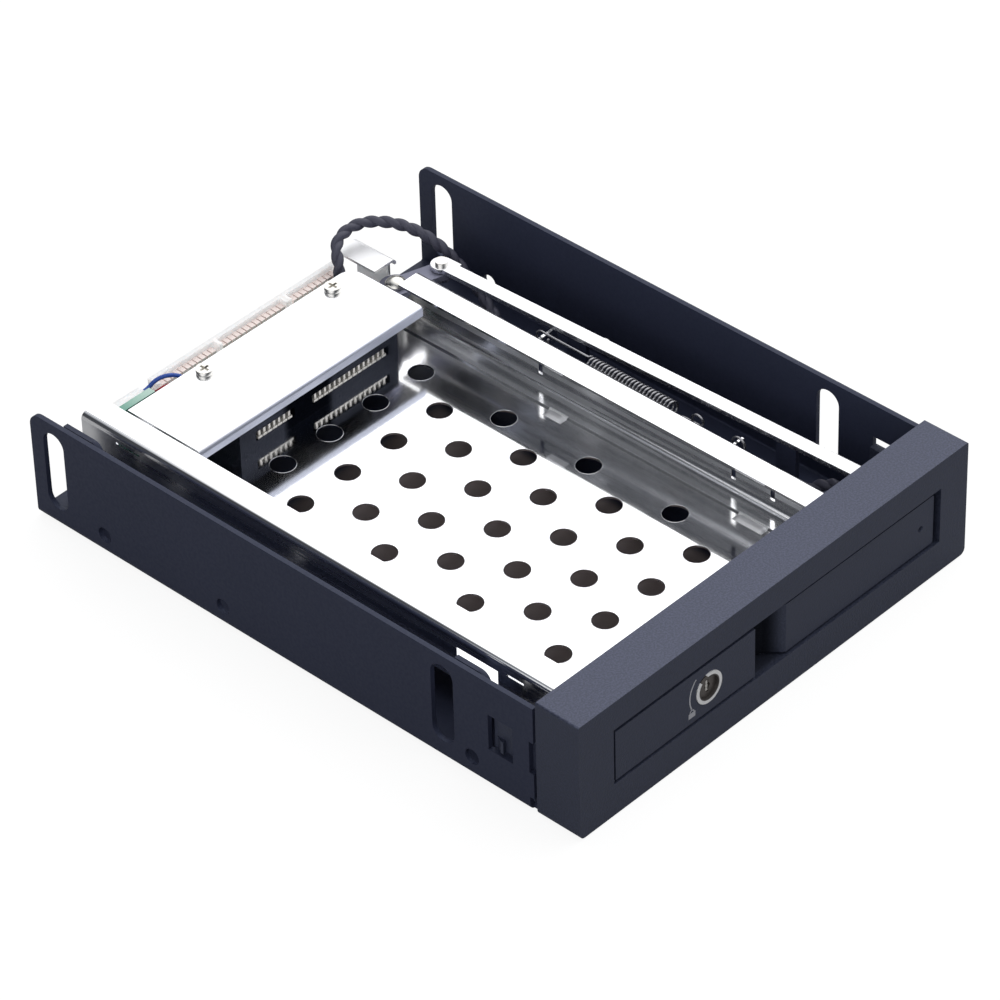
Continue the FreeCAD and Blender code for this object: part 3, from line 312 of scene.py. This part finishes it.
def contact_metal(g):
    wear = g.noise(2500.0, 3.0)
    return {
        "Base Color": g.mix(wear, (0.66, 0.635, 0.60), (0.86, 0.84, 0.80)),
        "Metallic": 0.5,
        "Roughness": g.spread(wear, 0.3, 0.7, 0.30, 0.42)}


def copper_contact(g):
    wear = g.noise(1800.0, 3.0)
    return {
        "Base Color": g.mix(wear, (0.86, 0.74, 0.70), (0.92, 0.82, 0.79)),
        "Metallic": 0.1,
        "Roughness": g.spread(wear, 0.3, 0.7, 0.44, 0.56)}


def board_laminate(g):
    top = g.spread(g.facing("Z"), 0.4, 0.8)
    weave = g.noise(2400.0, 2.0)
    trace = g.spread(abs(g.noise(320.0, 1.0) - 0.5), 0.02, 0.04)
    mask = g.mix(trace, (0.040, 0.24, 0.15), (0.018, 0.13, 0.085))
    bare = g.mix(weave, (0.40, 0.60, 0.52), (0.54, 0.70, 0.63))
    cut = g.mix(g.spread(g.place("X"), 14.0, 26.0), (0.07, 0.32, 0.23), bare)
    return {
        "Base Color": g.mix(top, mask, cut),
        "Roughness": g.spread(weave, 0.3, 0.7, 0.32, 0.46),
        "Normal": g.bump(trace, 0.00003, 0.5)}


def ivory_plastic(g):
    cloud = g.noise(220.0, 3.0)
    return {
        "Base Color": g.mix(cloud, (0.90, 0.875, 0.865), (0.95, 0.935, 0.925)),
        "Roughness": g.spread(cloud, 0.3, 0.7, 0.36, 0.46),
        "Subsurface Weight": 0.8,
        "Subsurface Radius": (1.0, 0.85, 0.8),
        "Subsurface Scale": 0.004,
        # Painted glow: a faint warm-white emission stands in for light passing through the nylon; the socket
        # is no lamp.
        "Emission Color": (1.0, 0.965, 0.955, 1.0),
        "Emission Strength": 0.14,
        "Normal": g.bump(g.noise(4200.0), 0.00001, 0.3)}


def clear_plastic(g):
    cloud = g.noise(1200.0, 2.0)
    return {
        "Base Color": g.mix(cloud, (0.80, 0.86, 0.92), (0.90, 0.94, 0.97)),
        "Roughness": g.spread(cloud, 0.3, 0.7, 0.06, 0.12),
        "Transmission Weight": 0.75}


def rubber(dark, light, gloss):
    """The finish of a wire's sleeve in one colour."""
    def build(g):
        grain = g.noise(2600.0, 3.0)
        return {
            "Base Color": g.mix(grain, dark, light),
            "Roughness": g.spread(grain, 0.3, 0.7, gloss, gloss + 0.12),
            "Normal": g.bump(grain, 0.00001, 0.35)}
    return build


def printed_ink(g):
    speck = g.noise(5200.0, 2.0)
    return {
        "Base Color": g.mix(speck, (0.36, 0.365, 0.40), (0.48, 0.485, 0.52)),
        "Roughness": g.spread(speck, 0.3, 0.7, 0.5, 0.6)}


FINISHES = {
    "black_steel": powder_coat,
    "black_plastic": grained_plastic,
    "polished_steel": mirror_steel,
    "nickel": nickel,
    "lock_bronze": lock_bronze,
    "cover_steel": satin_steel,
    "lever_steel": dark_steel,
    "spring_steel": spring_steel,
    "contact_metal": contact_metal,
    "copper_contact": copper_contact,
    "board_green": board_laminate,
    "white_plastic": ivory_plastic,
    "lamp_clear": clear_plastic,
    "black_lead": rubber((0.052, 0.053, 0.082), (0.068, 0.069, 0.102), 0.54),
    "blue_lead": rubber((0.015, 0.060, 0.32), (0.022, 0.085, 0.42), 0.34),
    "red_lead": rubber((0.34, 0.012, 0.020), (0.46, 0.020, 0.030), 0.34),
}
finishes = {name: surface(name, build) for name, build in FINISHES.items()}
ink = surface("printed_ink", printed_ink)

NODE_FINISH = {
    "outer_frame": "black_steel", "drive_cage": "polished_steel", "cage_rivets": "nickel",
    "bezel": "black_plastic", "door": "black_plastic", "hinge_pins": "nickel",
    "lock_ring": "nickel", "lock_barrel": "lock_bronze",
    "lock_cam": "nickel", "cam_screw": "nickel", "lock_nut": "nickel", "lamp_lens": "lamp_clear",
    "lamp_board": "board_green", "connector_cover": "cover_steel", "cover_screws": "nickel",
    "drive_connector": "black_plastic", "signal_contacts": "contact_metal", "power_contacts": "contact_metal",
    "backplane_board": "board_green", "rear_power_socket": "white_plastic",
    "rear_data_socket": "white_plastic", "socket_contacts": "copper_contact",
    "board_header": "white_plastic", "lead_plug": "white_plastic",
    "ejector_lever": "lever_steel", "lever_pivot": "nickel", "push_rod": "cover_steel",
    "rod_rivet": "nickel", "return_spring": "spring_steel",
    "lamp_lead": "black_lead", "blue_wire": "blue_lead", "red_wire": "red_lead",
}


def dress(obj, finish):
    obj.data.materials.clear()
    obj.data.materials.append(finishes[finish])


for name, finish in NODE_FINISH.items():
    dress(nodes[name], finish)


WELD_GAP = 0.002
SHARP_EDGE = math.radians(40)
EDGE_WIDTHS = {
    "bezel": 0.25, "door": 0.22, "outer_frame": 0.12, "connector_cover": 0.06,
    "push_rod": 0.08, "ejector_lever": 0.08, "cover_screws": 0.1, "drive_cage": 0.12,
}


def soften(name, width):
    """Small rounded edges on a moulded or folded piece."""
    obj = nodes[name]
    weld = obj.modifiers.new("weld", "WELD")
    weld.merge_threshold = WELD_GAP * MM
    bevel = obj.modifiers.new("edges", "BEVEL")
    bevel.width = width * MM
    bevel.segments = 2
    bevel.limit_method = "ANGLE"
    bevel.angle_limit = SHARP_EDGE
    bevel.harden_normals = True


for name, width in EDGE_WIDTHS.items():
    soften(name, width)


# Pieces drawn here


def add_mesh(name, verts, faces, finish, smooth=True):
    """A mesh piece in a named finish, or in a material of its own."""
    mesh = bpy.data.meshes.new(name)
    mesh.from_pydata([tuple(v) for v in verts], [], faces)
    mesh.update()
    if smooth:
        mesh.shade_smooth()
    obj = bpy.data.objects.new(name, mesh)
    bpy.context.scene.collection.objects.link(obj)
    if isinstance(finish, str):
        mesh.materials.append(finishes[finish])
    else:
        mesh.materials.append(finish)
    return obj


def frames_along(points):
    """At each point of a path: its direction and two steady crosswise directions."""
    out = []
    side = None
    for i, point in enumerate(points):
        ahead = (points[min(i + 1, len(points) - 1)] - points[max(i - 1, 0)]).normalized()
        if side is None:
            side = ahead.orthogonal().normalized()
        side = (side - ahead * side.dot(ahead)).normalized()
        out.append((ahead, side, ahead.cross(side)))
    return out


def tube(paths, radius, sides):
    """Round tubes along paths, closed at both ends."""
    verts, faces = [], []
    for points in paths:
        base = len(verts)
        for point, (ahead, side, rise) in zip(points, frames_along(points)):
            for k in range(sides):
                turn = 2 * math.pi * k / sides
                verts.append(point + (side * math.cos(turn) + rise * math.sin(turn)) * radius)
        for i in range(len(points) - 1):
            for k in range(sides):
                a, b = base + i * sides + k, base + i * sides + (k + 1) % sides
                faces.append((a, b, b + sides, a + sides))
        faces.append(tuple(base + k for k in reversed(range(sides))))
        faces.append(tuple(base + (len(points) - 1) * sides + k for k in range(sides)))
    return verts, faces


# Rolled lips round the floor holes
VENT_FIRST, VENT_REAR, VENT_LEVEL = 69.45, 102.8, 6.9
VENT_PITCH, VENT_ROW, VENT_RADIUS = 12.05, 10.42, 2.5
VENT_ROWS, VENT_COLUMNS = 8, 4
LIP_WIRE, LIP_SINK = 0.065, 0.3
LIP_SIDES, LIP_STEPS = 6, 40
lip_verts, lip_faces = [], []
for row in range(VENT_ROWS):
    for column in range(VENT_COLUMNS):
        base = len(lip_verts)
        middle_x = VENT_FIRST - VENT_PITCH * (column + 0.5 * (row % 2))
        middle_y = VENT_REAR - VENT_ROW * row
        for i in range(LIP_STEPS):
            turn = 2 * math.pi * i / LIP_STEPS
            for k in range(LIP_SIDES):
                round_wire = 2 * math.pi * k / LIP_SIDES
                reach = VENT_RADIUS + LIP_WIRE * math.cos(round_wire)
                lip_verts.append(spot(
                    middle_x + reach * math.cos(turn), middle_y + reach * math.sin(turn),
                    VENT_LEVEL + LIP_WIRE * (math.sin(round_wire) - LIP_SINK)))
        for i in range(LIP_STEPS):
            for k in range(LIP_SIDES):
                here, ahead = base + i * LIP_SIDES, base + (i + 1) % LIP_STEPS * LIP_SIDES
                beside = (k + 1) % LIP_SIDES
                lip_faces.append((here + k, ahead + k, ahead + beside, here + beside))
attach(add_mesh("vent_lips", lip_verts, lip_faces, "cover_steel"), "rack")


# Return spring: a true helix between its two hooks
SPRING_X, SPRING_Z, HOOK_Z = 85.1, 14.1, 14.0
COIL = (54.5, 75.2)
FRONT_SEAT, REAR_SEAT = 39.0, 86.62
COIL_TURNS, COIL_RADIUS, SPRING_WIRE = 24, 1.25, 0.25
COIL_STEPS, ROUND_STEPS, WIRE_SIDES = 20, 24, 8
HOOK_RADIUS = 1.45
FRONT_HOOK, REAR_HOOK = (-20.0, 300.0), (100.0, -300.0)
FRONT_LEG, LOOP_END, REAR_LEG = (43.0, 46.0), 52.0, (78.0, 81.0, 84.0)
LOOP_Y, LOOP_RADIUS, LOOP_SHIFT = 49.0, 1.2, 0.6


def hook(y, z, start, sweep):
    """Points round a spring hook standing in the plane of the spring's axis."""
    out = []
    for k in range(ROUND_STEPS + 1):
        turn = math.radians(start + sweep * k / ROUND_STEPS)
        out.append(spot(SPRING_X, y + HOOK_RADIUS * math.cos(turn), z + HOOK_RADIUS * math.sin(turn)))
    return out


spring_path = hook(FRONT_SEAT, HOOK_Z, *FRONT_HOOK)
spring_path += [spot(SPRING_X, y, SPRING_Z - COIL_RADIUS) for y in FRONT_LEG]
for k in range(ROUND_STEPS + 1):
    turn = 2 * math.pi * k / ROUND_STEPS
    spring_path.append(spot(
        SPRING_X + LOOP_SHIFT * k / ROUND_STEPS, LOOP_Y + LOOP_RADIUS * math.sin(turn),
        SPRING_Z - COIL_RADIUS + LOOP_RADIUS * (1.0 - math.cos(turn))))
spring_path.append(spot(SPRING_X + LOOP_SHIFT, LOOP_END, SPRING_Z - COIL_RADIUS))
steps = COIL_TURNS * COIL_STEPS + COIL_STEPS // 2
for k in range(steps + 1):
    turn = -math.pi / 2 + 2 * math.pi * (COIL_TURNS + 0.5) * k / steps
    spring_path.append(spot(
        SPRING_X + COIL_RADIUS * math.cos(turn), COIL[0] + (COIL[1] - COIL[0]) * k / steps,
        SPRING_Z + COIL_RADIUS * math.sin(turn)))
spring_path += [spot(SPRING_X, y, SPRING_Z + COIL_RADIUS) for y in REAR_LEG]
spring_path += hook(REAR_SEAT, HOOK_Z, *REAR_HOOK)
spring = add_mesh("return_spring_helix", *tube([spring_path], SPRING_WIRE * MM, WIRE_SIDES), "spring_steel")
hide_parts("return_spring")
spot(SPRING_X, 42.0, SPRING_Z)
spot(SPRING_X, 84.0, SPRING_Z)
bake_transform(spring)


# Cords
LINE_STEPS = 24
LEAD_STRANDS, STRAND_OFFSET, STRAND_PITCH, STRAND_RADIUS, STRAND_SIDES = 2, 0.40, 5.6, 0.78, 14
THIN_RADIUS, THIN_SIDES = 0.40, 12


def cord_line(name, points):
    """Closely spaced points of the smooth line that a cord's route points steer."""
    curve = bpy.data.curves.new(name, "CURVE")
    curve.dimensions = "3D"
    spline = curve.splines.new("NURBS")
    spline.points.add(len(points) - 1)
    for point, place in zip(spline.points, points):
        point.co = (*spot(*place), 1.0)
    spline.order_u = 3
    spline.use_endpoint_u = True
    spline.resolution_u = LINE_STEPS
    obj = bpy.data.objects.new(name, curve)
    bpy.context.scene.collection.objects.link(obj)
    bpy.context.view_layer.update()
    mesh = bpy.data.meshes.new_from_object(obj.evaluated_get(bpy.context.evaluated_depsgraph_get()))
    line = [v.co.copy() for v in mesh.vertices]
    bpy.data.meshes.remove(mesh)
    bpy.data.objects.remove(obj)
    bpy.data.curves.remove(curve)
    return line


def twisted(line, strands, offset, pitch):
    """Strand paths wound round a line."""
    steady = frames_along(line)
    paths = [[] for _ in range(strands)]
    run = 0.0
    for i, (point, (ahead, side, rise)) in enumerate(zip(line, steady)):
        if i:
            run += (point - line[i - 1]).length
        for k, path in enumerate(paths):
            turn = 2 * math.pi * (run / pitch + k / strands)
            path.append(point + (side * math.cos(turn) + rise * math.sin(turn)) * offset)
    return paths


LEAD_ROUTE = [
    (72.9, 126.6, 11.7), (72.9, 126.6, 17.4), (75.2, 130.0, 20.7), (82.2, 130.4, 21.2), (87.4, 125.2, 20.6),
    (91.0, 119.8, 17.4), (94.4, 115.0, 10.6), (93.2, 106.0, 4.6), (88.0, 94.0, 2.25), (86.0, 72.0, 2.25),
    (85.8, 46.0, 2.25), (88.4, 30.0, 4.4), (92.2, 23.0, 10.3), (92.2, 16.2, 10.3),
]
BLUE_ROUTE = [
    (24.0, 128.9, 15.4), (25.3, 128.9, 15.4), (26.9, 128.5, 16.7), (28.9, 127.4, 17.3), (31.0, 126.0, 16.7),
    (32.0, 125.5, 15.0), (32.0, 125.5, 13.2),
]
RED_ROUTE = [
    (24.0, 128.9, 13.6), (25.2, 128.9, 13.6), (26.6, 127.5, 14.9), (28.2, 126.7, 15.7), (29.7, 125.9, 15.4),
    (30.2, 125.5, 14.35), (30.2, 125.5, 13.2),
]
lead_line = cord_line("lead_line", LEAD_ROUTE)
lead_paths = twisted(lead_line, LEAD_STRANDS, STRAND_OFFSET * MM, STRAND_PITCH * MM)
lead = add_mesh("lamp_lead_strands", *tube(lead_paths, STRAND_RADIUS * MM, STRAND_SIDES), "black_lead")
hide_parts("lamp_lead")
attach(lead, "rack")
for colour, places in (("blue", BLUE_ROUTE), ("red", RED_ROUTE)):
    run = tube([cord_line(f"{colour}_line", places)], THIN_RADIUS * MM, THIN_SIDES)
    wire = add_mesh(f"{colour}_wire_run", *run, f"{colour}_lead")
    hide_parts(f"{colour}_wire")
    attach(wire, "rack")


# Printed lock mark: a turning sweep and a small padlock on the lock block
BLOCK_FACE = 0.15
INK_DEPTH = 0.02
SWEEP_X, SWEEP_RADIUS, SWEEP_START, SWEEP_TURN, SWEEP_WIDTH = LOCK_X + 0.2, 5.1, 133.0, 72.0, 0.30
CASE_X, CASE_Z, CASE_HEIGHT = (LOCK_X - 5.2, LOCK_X - 3.5), LOCK_Z - 3.5, 1.1
SHACKLE_X, SHACKLE_Z, SHACKLE_RADIUS, SHACKLE_WIDTH = LOCK_X - 4.35, LOCK_Z - 2.9, 0.5, 0.22


def strip(points, width):
    """A flat printed line on the lock block's front."""
    verts, faces = [], []
    for i, (x, z) in enumerate(points):
        before, after = points[max(i - 1, 0)], points[min(i + 1, len(points) - 1)]
        along = Vector((after[0] - before[0], after[1] - before[1])).normalized()
        for y in (BLOCK_FACE - INK_DEPTH, BLOCK_FACE + INK_DEPTH):
            for side in (0.5, -0.5):
                verts.append(spot(x - along.y * width * side, y, z + along.x * width * side))
    for i in range(len(points) - 1):
        a, b = 4 * i, 4 * i + 4
        faces += [
            (a, a + 1, b + 1, b), (a + 2, b + 2, b + 3, a + 3),
            (a, b, b + 2, a + 2), (a + 1, a + 3, b + 3, b + 1)]
    last = 4 * (len(points) - 1)
    faces += [(0, 2, 3, 1), (last, last + 1, last + 3, last + 2)]
    return verts, faces


def arc(x, z, radius, start, sweep, count):
    """Points along part of a circle on the lock block's front."""
    turns = [math.radians(start + sweep * k / count) for k in range(count + 1)]
    return [(x + radius * math.cos(turn), z + radius * math.sin(turn)) for turn in turns]


marks = {
    "lock_mark_sweep": (arc(SWEEP_X, LOCK_Z, SWEEP_RADIUS, SWEEP_START, SWEEP_TURN, 24), SWEEP_WIDTH),
    "lock_mark_case": ([(x, CASE_Z) for x in CASE_X], CASE_HEIGHT),
    "lock_mark_shackle": (arc(SHACKLE_X, SHACKLE_Z, SHACKLE_RADIUS, -10.0, 200.0, 12), SHACKLE_WIDTH),
}
for name, (points, width) in marks.items():
    mark = add_mesh(name, *strip(points, width), ink, smooth=False)
    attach(mark, "door")


# Sprung wafers showing in the key slit
WAFER_FRONT, WAFER_BACK, WAFER_HALF, WAFER_INSET = 0.72, 2.3, 0.30, 0.05
WAFERS_Z = ((-1.15, -0.50), (-0.42, 0.30), (0.38, 1.15))
wafer_verts, wafer_faces = [], []
for low, high in WAFERS_Z:
    base = len(wafer_verts)
    for y, inset in ((WAFER_FRONT, WAFER_INSET), (WAFER_BACK, 0.0)):
        for x, z in ((-1, low), (1, low), (1, high), (-1, high)):
            lift = inset if z == low else -inset
            wafer_verts.append(spot(LOCK_X + x * (WAFER_HALF - inset), y, LOCK_Z + z + lift))
    wafer_faces += [tuple(base + k for k in loop) for loop in (
        (0, 1, 2, 3), (7, 6, 5, 4), (0, 4, 5, 1), (1, 5, 6, 2), (2, 6, 7, 3), (3, 7, 4, 0))]
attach(add_mesh("lock_wafers", wafer_verts, wafer_faces, "contact_metal", smooth=False), "lock")


# Floor, light and camera
FLOOR_REACH, FLOOR_DROP = 3.0, 0.0004
FLOOR_WHITE, GLOSSY_SHARE = 0.89, 0.17


def floor_finish():
    """Pale paint that the camera sees as near white, with the shadow still on it."""
    made = bpy.data.materials.new("studio_floor")
    made.use_nodes = True
    g = Graph(made.node_tree)
    light_path = {name: g.add("ShaderNodeLightPath", out=name) for name in (
        "Is Camera Ray", "Is Glossy Ray", "Is Transmission Ray")}
    seen = light_path["Is Camera Ray"] + light_path["Is Transmission Ray"]
    seen = seen + light_path["Is Glossy Ray"] * GLOSSY_SHARE
    tone = g.noise(8.0)
    dull = {"Roughness": 1.0, "Specular IOR Level": 0.0}
    paint = g.add("ShaderNodeBsdfPrincipled", sockets={
        "Base Color": g.mix(tone, (0.24, 0.24, 0.245), (0.28, 0.28, 0.285)), **dull})
    pale = g.add("ShaderNodeBsdfPrincipled", sockets={
        "Base Color": g.mix(tone, (0.15, 0.15, 0.15), (0.17, 0.17, 0.17)), **dull})
    white = g.add("ShaderNodeEmission", sockets={"Color": (1.0, 1.0, 1.0), "Strength": FLOOR_WHITE})
    shadowed = g.add("ShaderNodeAddShader", sockets={0: white, 1: pale})
    g.add("ShaderNodeOutputMaterial", sockets={"Surface": g.add("ShaderNodeMixShader", sockets={
        0: seen, 1: paint, 2: shadowed})})
    return made


floor_corners = [
    (x * FLOOR_REACH, y * FLOOR_REACH, -FLOOR_DROP) for x, y in ((-1, -1), (1, -1), (1, 1), (-1, 1))]
ground = add_mesh("studio_floor", floor_corners, [(0, 1, 2, 3)], floor_finish(), smooth=False)

LAMP_HEADING, FILL_HEADING = (0.62, 0.10, 0.78), (-0.88, -0.32, 0.35)


def studio_world():
    """A broad soft lamp above the right side, a small fill from the left and white behind."""
    world = bpy.data.worlds.new("studio")
    world.use_nodes = True
    g = Graph(world.node_tree)
    seen = g.add("ShaderNodeLightPath", out="Is Camera Ray")
    heading = g.add("ShaderNodeTexCoord", out="Generated")

    def towards(side):
        return g.add("ShaderNodeVectorMath", {"operation": "DOT_PRODUCT"}, {0: heading, 1: side}, out="Value")

    glow = g.spread(towards(LAMP_HEADING), 0.30, 0.92, 0.065, 1.70)
    glow = glow + g.spread(towards(FILL_HEADING), 0.70, 0.97, 0.0, 1.5)
    shade = g.mix(glow, (0.84, 0.89, 1.0), (1.0, 1.0, 1.0))
    studio = g.add("ShaderNodeBackground", sockets={"Color": shade, "Strength": glow})
    white = g.add("ShaderNodeBackground", sockets={"Color": (1.0, 1.0, 1.0), "Strength": 1.0})
    both = g.add("ShaderNodeMixShader", sockets={0: seen, 1: studio, 2: white})
    g.add("ShaderNodeOutputWorld", sockets={"Surface": both})
    return world


bpy.context.scene.world = studio_world()

# The photo's view: place and heading in metres, and a slight tilt to one side
EYE = (-0.54734, -0.53011, 0.62094)
HEADING = (0.560005, 0.541377, -0.627141)
TILT = math.radians(-1.7012)
SENSOR, LENS, SIDE_SHIFT = 36.0, 197.154, -0.001
NEAR, FAR = 0.01, 20.0


def photo_camera():
    """The camera that stands where the photo was taken from."""
    data = bpy.data.cameras.new("photo_camera")
    data.sensor_width = SENSOR
    data.lens = LENS
    data.shift_x = SIDE_SHIFT
    data.clip_start = NEAR
    data.clip_end = FAR
    camera = bpy.data.objects.new("photo_camera", data)
    bpy.context.scene.collection.objects.link(camera)
    forward = Vector(HEADING).normalized()
    level = forward.cross(Vector((0, 0, 1))).normalized()
    above = level.cross(forward)
    right = level * math.cos(TILT) + above * math.sin(TILT)
    up = right.cross(forward)
    turned = Matrix((right, up, -forward)).transposed().to_4x4()
    camera.matrix_world = Matrix.Translation(EYE) @ turned
    return camera


bpy.context.scene.camera = photo_camera()
bpy.context.scene.view_settings.view_transform = "Standard"
